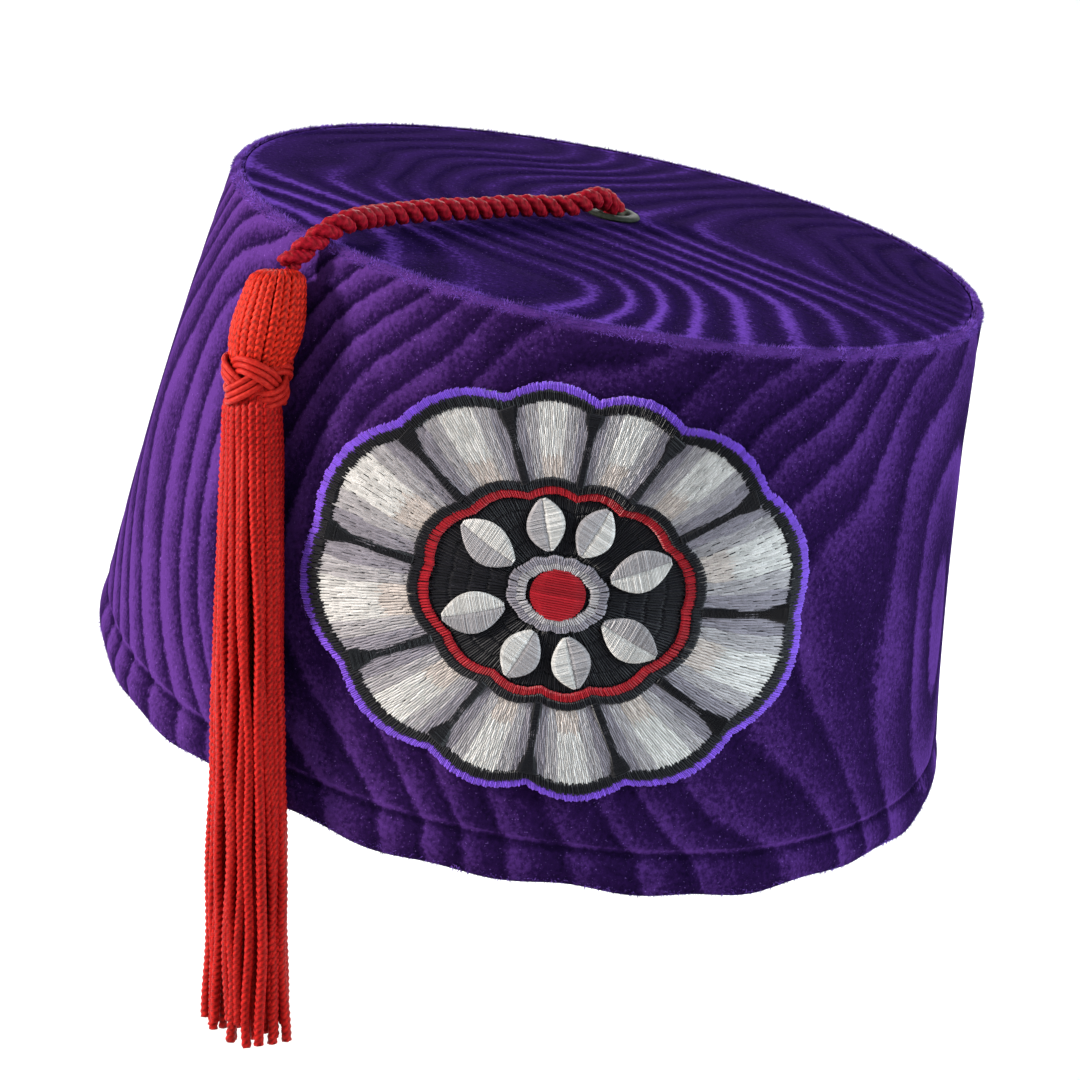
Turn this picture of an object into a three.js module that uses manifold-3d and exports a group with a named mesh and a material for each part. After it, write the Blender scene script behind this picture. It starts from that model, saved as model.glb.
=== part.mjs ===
// A velvet fez: a tapered oval crown with ribbed pile, a domed top with an eyelet, a round
// embroidered emblem at the front, and a rope with a plaited knot and a long tassel.
// Millimetres. +Z is up, the front faces -Y. The origin is the middle of the rim's plane, and the
// crown leans forward and to its left about that point while the tassel hangs plumb.

import * as THREE from 'three';
import { mergeVertices } from 'three/addons/utils/BufferGeometryUtils.js';
import Module from 'manifold-3d';

const wasm = await Module();
wasm.setup();

// Crown
const rim_half_width = 90;
const rim_half_length = 99;
const top_half_width = 73.3;
const top_half_length = 76.2;
const crown_height = 98;
const shoulder_out = 3;
const side_bow = 1.4;
const cloth = 2.6;
const hem_height = 7.5;
const shoulder_height = 6;
const shoulder_rise = 0.4;

// Lean of the crown on the head, in degrees
const lean_forward = 12;
const lean_sideways = 10;
const crown_turn = 4;

// Ribs of the pile
const rib_count = 60;
const rib_depth = 0.8;
const rib_swing = 26;
const rib_swing_height = 50;
const rib_swing_reach = 48;
const columns_per_rib = 4;
const lining_columns = 80;

// Clearance between neighbouring pieces
const gap = 0.3;

// Top
const disc_cloth = 2;
const dome_rise = 2.2;
const disc_columns = 72;

// Eyelet
const eyelet_bore = 3.2;
const eyelet_barrel = 0.6;
const eyelet_flange = 5.5;
const eyelet_sheet = 0.8;

// Emblem
const emblem_half_width = 52;
const emblem_half_height = 36;
const emblem_height = 52.5;
const emblem_turn = -2.5;
const emblem_thickness = 1.8;
const emblem_scallops = 12;
const scallop_depth = 2.2;
const emblem_margin = 5;

// Rope, its stop knot inside the crown, and the tassel
const rope_diameter = 4.6;
const rope_sides = 10;
const rope_steps = 26;
const stop_knot_radius = 5;
const stop_knot_height = 8;
const tassel_x = -48.4;
const tassel_lean = 4.5;
const tassel_top = 85.6;
const head_length = 14;
const knot_height = 9;
const skirt_length = 117;
const head_half_width = 6.6;
const neck_radius = 4.2;
const knot_thickness = 2.1;
const skirt_half_width = 7.8;
const skirt_half_depth = 5.3;
const lock_count = 11;
const lock_length = 16;
const lock_spread = 5;

// The rope's middle line from the eyelet, over the shoulder, to the tassel, in the frame of the part
const rope_route = [
  [17.6, -20.7, 97.5],
  [15.5, -24.6, 99.7],
  [12.9, -28.9, 100.0],
  [9.6, -32.4, 98.8],
  [5.4, -35.1, 98.3],
  [1.0, -37.5, 98.4],
  [-3.0, -40.5, 98.3],
  [-6.6, -44.0, 98.0],
  [-10.1, -47.5, 97.7],
  [-13.7, -51.0, 97.6],
  [-17.4, -54.5, 97.4],
  [-21.1, -57.8, 97.0],
  [-24.7, -61.3, 96.6],
  [-27.6, -65.4, 96.2],
  [-29.5, -70.0, 95.9],
  [-31.8, -74.4, 95.3],
  [-35.2, -77.7, 93.7],
  [-38.8, -79.6, 90.8],
  [-42.4, -80.3, 87.4],
];

const front_turn = THREE.MathUtils.degToRad(emblem_turn);
const rib_depth_half = rib_depth / 2;
const shoulder_start = crown_height - shoulder_height;

const crown = new THREE.Group();
crown.rotation.set(
  THREE.MathUtils.degToRad(lean_forward),
  THREE.MathUtils.degToRad(lean_sideways),
  THREE.MathUtils.degToRad(crown_turn),
  'YXZ',
);
crown.updateMatrixWorld();
const to_crown = crown.matrixWorld.clone().invert();

// A point on the crown's outer face: turn from the front, height, and how far out from the face
function wall_point(turn, height, out) {
  const share = height / crown_height;
  const half_width = THREE.MathUtils.lerp(rim_half_width, top_half_width + shoulder_out, share);
  const half_length = THREE.MathUtils.lerp(rim_half_length, top_half_length + shoulder_out, share);
  const bow = side_bow * 4 * share * (1 - share);
  return new THREE.Vector3(
    (half_width + out) * Math.sin(turn) - bow,
    -(half_length + out) * Math.cos(turn),
    height,
  );
}

// The emblem's outline, as its distance from the middle for a direction seen from the front
function emblem_reach(direction) {
  const oval = 1 / Math.hypot(
    Math.cos(direction) / emblem_half_width,
    Math.sin(direction) / emblem_half_height,
  );
  return oval - scallop_depth * (1 - Math.abs(Math.sin(direction * emblem_scallops / 2)));
}

// How much of the rib relief is left at a place: none under the emblem
function rib_share_near_emblem(turn, height) {
  let away = turn - front_turn;
  away -= Math.round(away / (2 * Math.PI)) * 2 * Math.PI;
  const across = away * rim_half_width;
  const up = height - emblem_height;
  const past = Math.hypot(across, up) - emblem_reach(Math.atan2(up, across));
  return THREE.MathUtils.smoothstep(past, emblem_margin, 2 * emblem_margin);
}

// A closed body gathers its rings of points and the faces between them
function new_body() {
  return { points: [], faces: [] };
}

function add_ring(body, ring) {
  const first = body.points.length;
  body.points.push(...ring);
  return ring.map((point, place) => first + place);
}

// Two rings are joined all round; the longer one holds a whole multiple of the shorter one's points
function join_rings(body, low, high) {
  const steps = Math.max(low.length, high.length);
  const place = (ring, step) => ring[Math.floor((step * ring.length) / steps) % ring.length];
  for (let step = 0; step < steps; step += 1) {
    const a = place(low, step);
    const b = place(low, step + 1);
    const c = place(high, step + 1);
    const d = place(high, step);
    if (a !== b) body.faces.push([a, b, c]);
    if (c !== d) body.faces.push([a, c, d]);
  }
}

function cap_ring(body, ring, middle, facing_up) {
  const [tip] = add_ring(body, [middle]);
  ring.forEach((a, step) => {
    const b = ring[(step + 1) % ring.length];
    body.faces.push(facing_up ? [a, b, tip] : [b, a, tip]);
  });
}

function body_geometry(body) {
  const geometry = new THREE.BufferGeometry();
  const numbers = body.points.flatMap((point) => point.toArray());
  geometry.setAttribute('position', new THREE.Float32BufferAttribute(numbers, 3));
  geometry.setIndex(body.faces.flat());
  return geometry;
}

function ring_of(count, place) {
  return Array.from({ length: count }, (unused, step) => place((2 * Math.PI * step) / count));
}

function piece(name, geometry, color, roughness, metalness) {
  geometry.computeVertexNormals();
  const mesh = new THREE.Mesh(geometry, new THREE.MeshStandardMaterial({ color, roughness, metalness }));
  mesh.name = name;
  return mesh;
}

// The crown wall: cloth turned up into a stitched hem below and rolled over the shoulder above.
// Height is a share of its zone, out a share of the cloth, and ribs a share of the rib relief.
const wall_rows = [
  { zone: 'hem', height: 0, out: -0.5, ribs: 0 },
  { zone: 'hem', height: 0.1, out: -0.05, ribs: 1 },
  { zone: 'hem', height: 0.8, out: 0.08, ribs: 1 },
  { zone: 'hem', height: 1, out: -0.2, ribs: 0.5 },
  { zone: 'side', height: 0.04, out: 0.04, ribs: 1 },
  { zone: 'side', height: 0.2, out: 0, ribs: 1 },
  { zone: 'side', height: 0.36, out: 0, ribs: 1 },
  { zone: 'side', height: 0.52, out: 0, ribs: 1 },
  { zone: 'side', height: 0.68, out: 0, ribs: 1 },
  { zone: 'side', height: 0.84, out: 0, ribs: 1 },
  { zone: 'side', height: 1, out: 0, ribs: 1 },
  { zone: 'shoulder', height: 0.7, out: -0.12, ribs: 0.6 },
  { zone: 'shoulder', height: 1, out: -0.6, ribs: 0 },
];
const wall_zones = {
  hem: [0, hem_height],
  side: [hem_height, shoulder_start],
  shoulder: [shoulder_start, crown_height + shoulder_rise],
};

// The ribs bow to one side: how far they are turned at a height
function rib_turn(height) {
  const above = (Math.max(height, hem_height) - rib_swing_height) / rib_swing_reach;
  return -THREE.MathUtils.degToRad(rib_swing) * (1 - above * above);
}

function make_crown_wall() {
  const body = new_body();
  const columns = rib_count * columns_per_rib;
  const rings = wall_rows.map((row) => {
    const [low, high] = wall_zones[row.zone];
    const height = THREE.MathUtils.lerp(low, high, row.height);
    const swing = rib_turn(height);
    return add_ring(body, ring_of(columns, (start) => {
      const turn = start + swing;
      const relief = Math.cos(start * rib_count) * rib_depth_half * row.ribs;
      const out = relief * rib_share_near_emblem(turn, height) + row.out * cloth;
      return wall_point(turn, height, out);
    }));
  });
  for (const share of [1, 0.66, 0.33, 0]) {
    const height = share * (crown_height - cloth / 2) + (1 - share) * cloth / 2;
    rings.push(add_ring(body, ring_of(lining_columns, (turn) => wall_point(turn, height, -cloth))));
  }
  rings.forEach((ring, step) => join_rings(body, ring, rings[(step + 1) % rings.length]));
  return piece('crown_wall', body_geometry(body), 0x35197a, 0.95, 0);
}

// The top: a domed oval disc whose edge stands just inside the rolled shoulder
function disc_top(share) {
  return crown_height + dome_rise * (1 - share * share);
}

const disc_edge_out = shoulder_out - cloth - gap;
const disc_hole = eyelet_bore + eyelet_barrel + gap;

function make_top_disc() {
  const body = new_body();
  const hole_share = disc_hole / top_half_width;
  const shares = [hole_share, 0.3, 0.6, 0.85, 1];
  const place = (share, drop) => (turn) => {
    const round = share === hole_share;
    const edge = share === 1 ? disc_edge_out : 0;
    const half_width = round ? disc_hole : top_half_width * share + edge;
    const half_length = round ? disc_hole : top_half_length * share + edge;
    return new THREE.Vector3(
      half_width * Math.sin(turn),
      -half_length * Math.cos(turn),
      disc_top(share) - drop,
    );
  };
  const under = shares.map((share) => add_ring(body, ring_of(disc_columns, place(share, disc_cloth))));
  const over = shares.toReversed().map((share) => add_ring(body, ring_of(disc_columns, place(share, 0))));
  const rings = [...under, ...over];
  rings.forEach((ring, step) => join_rings(body, ring, rings[(step + 1) % rings.length]));
  return piece('top_disc', body_geometry(body), 0x2c1468, 0.95, 0);
}

// The eyelet: a flanged metal ring through the top, with its washer below
function make_eyelet() {
  const top = crown_height + dome_rise + gap;
  const bottom = crown_height + dome_rise - disc_cloth - gap;
  const barrel = eyelet_bore + eyelet_barrel;
  const profile = [
    [eyelet_bore, bottom - eyelet_sheet],
    [eyelet_flange, bottom - eyelet_sheet],
    [eyelet_flange, bottom],
    [barrel, bottom],
    [barrel, top],
    [eyelet_flange, top],
    [eyelet_flange - eyelet_sheet / 2, top + eyelet_sheet],
    [eyelet_bore + eyelet_sheet / 2, top + eyelet_sheet],
    [eyelet_bore, top + eyelet_sheet / 2],
    [eyelet_bore, bottom - eyelet_sheet],
  ].map(([radius, height]) => new THREE.Vector2(radius, height));
  const geometry = new THREE.LatheGeometry(profile, 28).rotateX(Math.PI / 2);
  return piece('eyelet', geometry, 0x55605a, 0.35, 0.9);
}

// The stop knot: the rope's hidden end, tied under the eyelet
function make_stop_knot() {
  const stub_top = crown_height + dome_rise - disc_cloth / 2;
  const knot_top = crown_height + dome_rise - disc_cloth - gap - eyelet_sheet - gap;
  const rope_radius = rope_diameter / 2;
  const profile = [[0, knot_top - stop_knot_height]];
  for (const share of [0.2, 0.5, 0.8]) {
    const radius = stop_knot_radius * Math.sin(Math.PI * share);
    profile.push([Math.max(radius, rope_radius), knot_top - stop_knot_height * (1 - share)]);
  }
  profile.push([rope_radius, knot_top], [rope_radius, stub_top], [0, stub_top]);
  const points = profile.map(([radius, height]) => new THREE.Vector2(radius, height));
  const geometry = new THREE.LatheGeometry(points, 12).rotateX(Math.PI / 2);
  return piece('stop_knot', geometry, 0xa8120d, 0.8, 0);
}

// The emblem: a scalloped oval of dense embroidery, bent round the wall at the front
function make_emblem() {
  const body = new_body();
  const columns = emblem_scallops * 4;
  const shares = [0.2, 0.4, 0.6, 0.8, 1];
  const place = (across, up, out) => {
    const turn = front_turn + across / rim_half_width;
    return wall_point(turn, emblem_height + up, out + rib_depth_half + gap);
  };
  const ring = (share, out) => add_ring(body, ring_of(columns, (direction) => {
    const reach = emblem_reach(direction) * share;
    return place(reach * Math.cos(direction), reach * Math.sin(direction), out);
  }));
  const back = shares.map((share) => ring(share, 0));
  const front = shares.toReversed().map((share) => ring(share, emblem_thickness * (share === 1 ? 0.7 : 1)));
  const rings = [...back, ...front];
  for (let step = 0; step + 1 < rings.length; step += 1) {
    join_rings(body, rings[step], rings[step + 1]);
  }
  cap_ring(body, rings[0], place(0, 0, 0), false);
  cap_ring(body, rings.at(-1), place(0, 0, emblem_thickness), true);
  return piece('emblem', body_geometry(body), 0xbdbac0, 0.6, 0);
}

// The rope: one plain tube along its route
function make_rope() {
  const route = new THREE.CatmullRomCurve3(rope_route.map((point) => new THREE.Vector3(...point)));
  const section = new THREE.Shape(ring_of(rope_sides, (turn) => new THREE.Vector2(
    Math.cos(turn) * rope_diameter / 2,
    Math.sin(turn) * rope_diameter / 2,
  )));
  const geometry = new THREE.ExtrudeGeometry(section, {
    steps: rope_steps,
    extrudePath: route,
    bevelEnabled: false,
  });
  geometry.deleteAttribute('normal');
  geometry.deleteAttribute('uv');
  return piece('tassel_rope', mergeVertices(geometry, 0.001), 0xb0150f, 0.8, 0);
}

// How far forward a point of the part at x and z must lie to clear the crown's side by a distance
function front_of_wall(x, z, clear) {
  let near = -2 * rim_half_length;
  let far = 0;
  for (let step = 0; step < 30; step += 1) {
    const middle = (near + far) / 2;
    const place = new THREE.Vector3(x, middle, z).applyMatrix4(to_crown);
    const height = THREE.MathUtils.clamp(place.z, 0, crown_height);
    const edge = wall_point(Math.PI / 2, height, clear);
    const end = wall_point(0, height, clear);
    const bow = wall_point(0, height, 0).x;
    const inside = Math.hypot((place.x - bow) / (edge.x - bow), place.y / end.y) < 1;
    if (inside) far = middle;
    else near = middle;
  }
  return near;
}

// The tassel from its top down. Each row has a zone and a share of that zone's length, then the
// half width and half depth there as shares of the named sizes of the zone.
const tassel_rows = [
  { zone: 'head', down: 0, wide: 0.42, deep: 0.42 },
  { zone: 'head', down: 0.08, wide: 0.68, deep: 0.68 },
  { zone: 'head', down: 0.3, wide: 0.93, deep: 0.9 },
  { zone: 'head', down: 0.65, wide: 1, deep: 0.94 },
  { zone: 'head', down: 0.94, wide: 0.86, deep: 0.84 },
  { zone: 'neck', down: 0, wide: 1, deep: 1 },
  { zone: 'neck', down: 1, wide: 1, deep: 1 },
  { zone: 'skirt', down: 0.02, wide: 0.72, deep: 0.95 },
  { zone: 'skirt', down: 0.25, wide: 0.79, deep: 1 },
  { zone: 'skirt', down: 0.5, wide: 0.88, deep: 1 },
  { zone: 'skirt', down: 0.7, wide: 0.95, deep: 1 },
  { zone: 'skirt', down: 0.88, wide: 1, deep: 1 },
];
// A zone's lobes are how deep the grooves between its strands are
const tassel_zones = {
  head: {
    start: 0,
    length: head_length,
    half_width: head_half_width,
    half_depth: head_half_width,
    lobes: 0.05,
  },
  neck: {
    start: head_length,
    length: knot_height,
    half_width: neck_radius,
    half_depth: neck_radius,
    lobes: 0.05,
  },
  skirt: {
    start: head_length + knot_height,
    length: skirt_length,
    half_width: skirt_half_width,
    half_depth: skirt_half_depth,
    lobes: 0.14,
  },
};
const tassel_clearance = rib_depth_half + gap;
const knot_radius = neck_radius + gap + knot_thickness;
const lean_zone = head_length + knot_height;

// Where the tassel's middle is, a distance down from its top, and which way it faces off the wall.
// It lies on the crown's side, and hangs plumb below the rim.
function tassel_place(down) {
  const x = tassel_x + tassel_lean * Math.max(0, 1 - down / lean_zone);
  const z = tassel_top - down;
  const skirt_share = THREE.MathUtils.smoothstep(down, lean_zone - gap, lean_zone + knot_height);
  const half_depth = THREE.MathUtils.lerp(knot_radius, skirt_half_depth, skirt_share);
  const clear = half_depth + tassel_clearance;
  const on_wall = new THREE.Vector3(x, front_of_wall(x, z, clear), z).applyMatrix4(to_crown);
  const rim_z = z - Math.min(0, on_wall.z);
  const y = front_of_wall(x, rim_z, clear);
  const rim_place = new THREE.Vector3(x, y, rim_z).applyMatrix4(to_crown);
  const outward = new THREE.Vector3(
    rim_place.x / rim_half_width ** 2,
    rim_place.y / rim_half_length ** 2,
    0,
  );
  outward.transformDirection(crown.matrixWorld).setZ(0).normalize();
  return { middle: new THREE.Vector3(x, y, z), outward };
}

// A point of the tassel beside its middle: along the wall and off the wall
function beside(place, along, off) {
  const { middle, outward } = place;
  return new THREE.Vector3(
    middle.x - outward.y * along + outward.x * off,
    middle.y + outward.x * along + outward.y * off,
    middle.z,
  );
}

function tassel_ring(row, lobes) {
  const zone = tassel_zones[row.zone];
  const place = tassel_place(zone.start + zone.length * row.down);
  return ring_of(2 * lock_count, (turn) => {
    const lobe = 1 - lobes * (0.5 - 0.5 * Math.cos(turn * lock_count));
    const along = zone.half_width * row.wide * lobe * Math.sin(turn);
    return beside(place, along, zone.half_depth * row.deep * lobe * Math.cos(turn));
  });
}

function solid_of(geometry) {
  const mesh = new wasm.Mesh({
    numProp: 3,
    vertProperties: new Float32Array(geometry.attributes.position.array),
    triVerts: new Uint32Array(geometry.index.array),
  });
  mesh.merge();
  return new wasm.Manifold(mesh);
}

function geometry_of(solid) {
  const mesh = solid.getMesh();
  const geometry = new THREE.BufferGeometry();
  geometry.setAttribute('position', new THREE.Float32BufferAttribute(Array.from(mesh.vertProperties), 3));
  geometry.setIndex(Array.from(mesh.triVerts));
  return geometry;
}

// One tapered lock, fused into the skirt above its tip. Its rows hold how far down the skirt they
// are and how thick the lock is there, as shares.
const lock_rows = [
  { down: 0.8, thick: 0.5, spread: 0.7 },
  { down: 0.88, thick: 1, spread: 0.85 },
];
const lock_radius = Math.PI * skirt_half_width / lock_count;
const lock_tip_thick = 0.6;
const lock_sides = 6;

function make_lock(turn, length) {
  const body = new_body();
  const skirt = tassel_zones.skirt.start;
  const tip_down = skirt + skirt_length * tassel_rows.at(-1).down + length;
  const place_on = (down, spread) => {
    const along = spread * (skirt_half_width - lock_radius) * Math.sin(turn);
    return { down, along, off: spread * (skirt_half_depth - lock_radius) * Math.cos(turn) };
  };
  const rows = lock_rows.map((row) => ({
    ...place_on(skirt + skirt_length * row.down, row.spread),
    thick: row.thick,
  }));
  rows.push({ ...place_on(tip_down - lock_radius, 1), thick: lock_tip_thick });
  const rings = rows.toReversed().map((row) => {
    const place = tassel_place(row.down);
    const half = lock_radius * row.thick;
    return add_ring(body, ring_of(lock_sides, (round) => (
      beside(place, row.along + half * Math.sin(round), row.off + half * Math.cos(round))
    )));
  });
  rings.slice(1).forEach((ring, step) => join_rings(body, rings[step], ring));
  const tip = place_on(tip_down, 1);
  cap_ring(body, rings[0], beside(tassel_place(tip.down), tip.along, tip.off), false);
  cap_ring(body, rings.at(-1), beside(tassel_place(rows[0].down), rows[0].along, rows[0].off), true);
  return solid_of(body_geometry(body));
}

function make_tassel() {
  const body = new_body();
  const rings = tassel_rows.toReversed().map((row) => {
    return add_ring(body, tassel_ring(row, tassel_zones[row.zone].lobes));
  });
  rings.slice(1).forEach((ring, step) => join_rings(body, rings[step], ring));
  const foot = tassel_zones.skirt.start + skirt_length * tassel_rows.at(-1).down;
  cap_ring(body, rings[0], tassel_place(foot).middle, false);
  cap_ring(body, rings.at(-1), tassel_place(0).middle, true);
  let solid = solid_of(body_geometry(body));
  for (let lock = 0; lock < lock_count; lock += 1) {
    const turn = (2 * Math.PI * lock) / lock_count;
    const length = lock_length - lock_spread * (0.5 + 0.5 * Math.sin(lock * 2.3));
    solid = solid.add(make_lock(turn, length));
  }
  return piece('tassel', geometry_of(solid), 0xb5160e, 0.75, 0);
}

// The plaited knot: a ring round the neck with the bumps of its crossing cords
const knot_rows = [
  { up: 0, thick: 0 },
  { up: 0, thick: 0.5 },
  { up: 0.2, thick: 0.95 },
  { up: 0.5, thick: 1 },
  { up: 0.8, thick: 0.95 },
  { up: 1, thick: 0.5 },
  { up: 1, thick: 0 },
];
const knot_bights = 6;
const knot_bump = 0.18;
const knot_inset = 0.5;

function make_knot() {
  const body = new_body();
  const rings = knot_rows.map((row) => {
    const down = lean_zone - knot_inset - (knot_height - 2 * knot_inset) * row.up;
    const place = tassel_place(down);
    return add_ring(body, ring_of(knot_bights * 4, (turn) => {
      const bump = 1 - knot_bump * (0.5 - 0.5 * Math.cos(turn * knot_bights + row.up * Math.PI));
      const radius = neck_radius + gap + knot_thickness * row.thick * bump;
      return beside(place, radius * Math.sin(turn), radius * Math.cos(turn));
    }));
  });
  rings.forEach((ring, step) => join_rings(body, ring, rings[(step + 1) % rings.length]));
  return piece('tassel_knot', body_geometry(body), 0xc01a10, 0.65, 0);
}

crown.add(make_crown_wall(), make_top_disc(), make_eyelet(), make_stop_knot(), make_emblem());

const group = new THREE.Group();
group.add(crown, make_rope(), make_tassel(), make_knot());

export default group;
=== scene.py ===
import math

import bpy
import numpy as np
from mathutils import Matrix, Vector


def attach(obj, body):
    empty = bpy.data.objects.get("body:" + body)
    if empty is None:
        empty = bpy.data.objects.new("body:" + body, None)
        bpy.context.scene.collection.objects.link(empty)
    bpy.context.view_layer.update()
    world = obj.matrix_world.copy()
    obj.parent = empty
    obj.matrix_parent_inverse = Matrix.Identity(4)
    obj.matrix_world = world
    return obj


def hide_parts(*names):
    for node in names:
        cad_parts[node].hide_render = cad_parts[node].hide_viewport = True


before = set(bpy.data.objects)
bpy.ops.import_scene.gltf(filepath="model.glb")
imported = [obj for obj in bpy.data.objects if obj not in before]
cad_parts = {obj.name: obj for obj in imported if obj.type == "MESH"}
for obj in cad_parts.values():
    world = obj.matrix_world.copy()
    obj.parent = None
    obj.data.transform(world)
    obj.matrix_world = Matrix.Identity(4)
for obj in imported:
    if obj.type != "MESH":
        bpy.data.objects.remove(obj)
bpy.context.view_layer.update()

# The camera stands in front of the hat and a little above it, and is rolled by one degree.
# A long lens keeps the sides of the crown nearly parallel.
view_target = Vector((0.0036, 0.0, 0.0274))
view_distance = 0.534
view_rise = math.radians(8)
view_roll = math.radians(1)
view_back = Vector((0, -math.cos(view_rise), math.sin(view_rise)))
view_level = Vector((1, 0, 0))
view_up = view_back.cross(view_level)
view_right = view_level * math.cos(view_roll) + view_up * math.sin(view_roll)
view_top = view_up * math.cos(view_roll) - view_level * math.sin(view_roll)
view_turn = Matrix((view_right, view_top, view_back)).transposed()
view_place = view_target + view_back * view_distance
bpy.ops.object.camera_add(location=view_place, rotation=view_turn.to_euler())
camera = bpy.context.object
camera.name = "camera"
camera.data.lens = 83.33
camera.data.sensor_width = 36
camera.data.clip_start = 0.01
bpy.context.scene.camera = camera

# The rope is two plies of knitted cord, twisted round each other. It comes up through the eyelet,
# lies across the top, goes over the shoulder and ends in the tassel's head.
rope_lead = 0.0070
ply_radius = 0.00122
ply_off_middle = 0.00102
ply_stitch = 0.0012
ply_relief = 0.22
ply_shade = 0.30
rope_route = [
    (0.0176, -0.0207, 0.0975),
    (0.0155, -0.0246, 0.0997),
    (0.0129, -0.0289, 0.1000),
    (0.0096, -0.0324, 0.0988),
    (0.0054, -0.0351, 0.0983),
    (0.0010, -0.0375, 0.0984),
    (-0.0030, -0.0405, 0.0983),
    (-0.0066, -0.0440, 0.0980),
    (-0.0101, -0.0475, 0.0977),
    (-0.0137, -0.0510, 0.0976),
    (-0.0174, -0.0545, 0.0974),
    (-0.0211, -0.0578, 0.0970),
    (-0.0247, -0.0613, 0.0966),
    (-0.0276, -0.0654, 0.0962),
    (-0.0295, -0.0700, 0.0959),
    (-0.0318, -0.0744, 0.0953),
    (-0.0352, -0.0777, 0.0937),
    (-0.0388, -0.0796, 0.0908),
    (-0.0424, -0.0803, 0.0874),
]


def length_along(line):
    steps = np.linalg.norm(np.diff(line, axis=0), axis=1)
    return np.concatenate([[0.0], np.cumsum(steps)])


def smooth_line(points, count):
    """A natural cubic curve through a few points, as many evenly spaced points."""
    points = np.array(points, float)
    knots = length_along(points)
    steps = np.diff(knots)
    size = len(points)
    system = np.eye(size)
    rhs = np.zeros_like(points)
    for place in range(1, size - 1):
        before, after = steps[place - 1], steps[place]
        system[place, place - 1:place + 2] = before, 2 * (before + after), after
        slope_after = (points[place + 1] - points[place]) / after
        slope_before = (points[place] - points[place - 1]) / before
        rhs[place] = 6 * (slope_after - slope_before)
    bend = np.linalg.solve(system, rhs)
    where = np.linspace(0, knots[-1], count)
    span = np.clip(np.searchsorted(knots, where) - 1, 0, size - 2)
    width = steps[span][:, None]
    left = (where - knots[span])[:, None]
    right = (knots[span + 1] - where)[:, None]
    start, end = points[span], points[span + 1]
    bend_start, bend_end = bend[span], bend[span + 1]
    curve = (bend_start * right ** 3 + bend_end * left ** 3) / (6 * width)
    curve += (start / width - bend_start * width / 6) * right
    return curve + (end / width - bend_end * width / 6) * left


def unit(vectors):
    return vectors / np.linalg.norm(vectors, axis=-1, keepdims=True)


def carried_side(line):
    """A direction square to the line at each point, carried along it without twisting."""
    ahead = unit(np.gradient(line, axis=0))
    side = np.cross(ahead[0], (0.0, 0.0, 1.0))
    sides = [unit(side)]
    for direction in ahead[1:]:
        side = sides[-1] - direction * np.dot(sides[-1], direction)
        sides.append(unit(side))
    return np.array(sides)


def knitted_tube(line, facing, half_wide, half_deep, around, stitch, relief):
    """A knitted cord as points, faces and light: two columns of slanted stitches, front and back."""
    ahead = unit(np.gradient(line, axis=0))
    across = unit(np.cross(ahead, facing))
    out = np.cross(across, ahead)
    turn = 2 * np.pi * np.arange(around) / around
    quarter = np.abs((turn / (np.pi / 2) + 1) % 2 - 1)
    along = length_along(line)[:, None] / stitch
    lobe = np.abs(np.sin(np.pi * (along - 0.95 * quarter)))
    groove = 0.16 * np.exp(-(quarter / 0.16) ** 2) + 0.12 * np.exp(-((1 - quarter) / 0.14) ** 2)
    swell = 1 + relief * (lobe - 0.62) - groove
    # Painted light and shade: each stitch's lobe is lit and the grooves between stitches are darkened.
    shade = np.clip(lobe - 2.2 * groove, 0, 1)
    wide = np.broadcast_to(half_wide, (len(line),))[:, None] * swell * np.sin(turn)
    deep = np.broadcast_to(half_deep, (len(line),))[:, None] * swell * np.cos(turn)
    ring = line[:, None] + across[:, None] * wide[..., None] + out[:, None] * deep[..., None]
    points = np.concatenate([ring.reshape(-1, 3), line[:1], line[-1:]])
    return points, tube_faces(len(line), around), np.append(shade.ravel(), (0, 0))


def tube_faces(rings, around):
    """Faces of a tube of rings, closed at both ends on the two points that follow the rings."""
    ring, step = np.meshgrid(np.arange(rings - 1), np.arange(around), indexing="ij")
    following = (step + 1) % around
    low, high = ring * around, (ring + 1) * around
    sides = np.stack([low + step, high + step, high + following, low + following], -1).reshape(-1, 4)
    first, last = rings * around, rings * around + 1
    spin = np.arange(around)
    following = (spin + 1) % around
    top = (rings - 1) * around
    start = np.stack([spin, following, np.full(around, first)], -1)
    end = np.stack([top + following, top + spin, np.full(around, last)], -1)
    return sides, np.concatenate([start, end])


def turn_outwards(piece, sew):
    """Turns a piece's faces outwards and smooths it. Sewing first joins the points that meet."""
    bpy.context.view_layer.objects.active = piece
    bpy.ops.object.mode_set(mode="EDIT")
    bpy.ops.mesh.select_all(action="SELECT")
    if sew:
        bpy.ops.mesh.remove_doubles(threshold=0.000001)
    bpy.ops.mesh.normals_make_consistent(inside=False)
    bpy.ops.object.mode_set(mode="OBJECT")
    bpy.ops.object.shade_smooth()


def joined_piece(name, tubes):
    """One object from many tubes, each with points, faces, and how open to light its points are."""
    places, quads, corners, offset = [], [], [], 0
    for points, (sides, caps), shade in tubes:
        places.append(points)
        quads.append(sides + offset)
        corners.append(caps + offset)
        offset += len(points)
    mesh = bpy.data.meshes.new(name)
    faces = np.concatenate(quads).tolist() + np.concatenate(corners).tolist()
    mesh.from_pydata(np.concatenate(places).tolist(), [], faces)
    opened = mesh.attributes.new("opened", "FLOAT", "POINT")
    opened.data.foreach_set("value", np.concatenate([tube[2] for tube in tubes]).astype(np.float32))
    piece = bpy.data.objects.new(name, mesh)
    bpy.context.scene.collection.objects.link(piece)
    bpy.ops.object.select_all(action="DESELECT")
    piece.select_set(True)
    turn_outwards(piece, False)
    return piece


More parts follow.
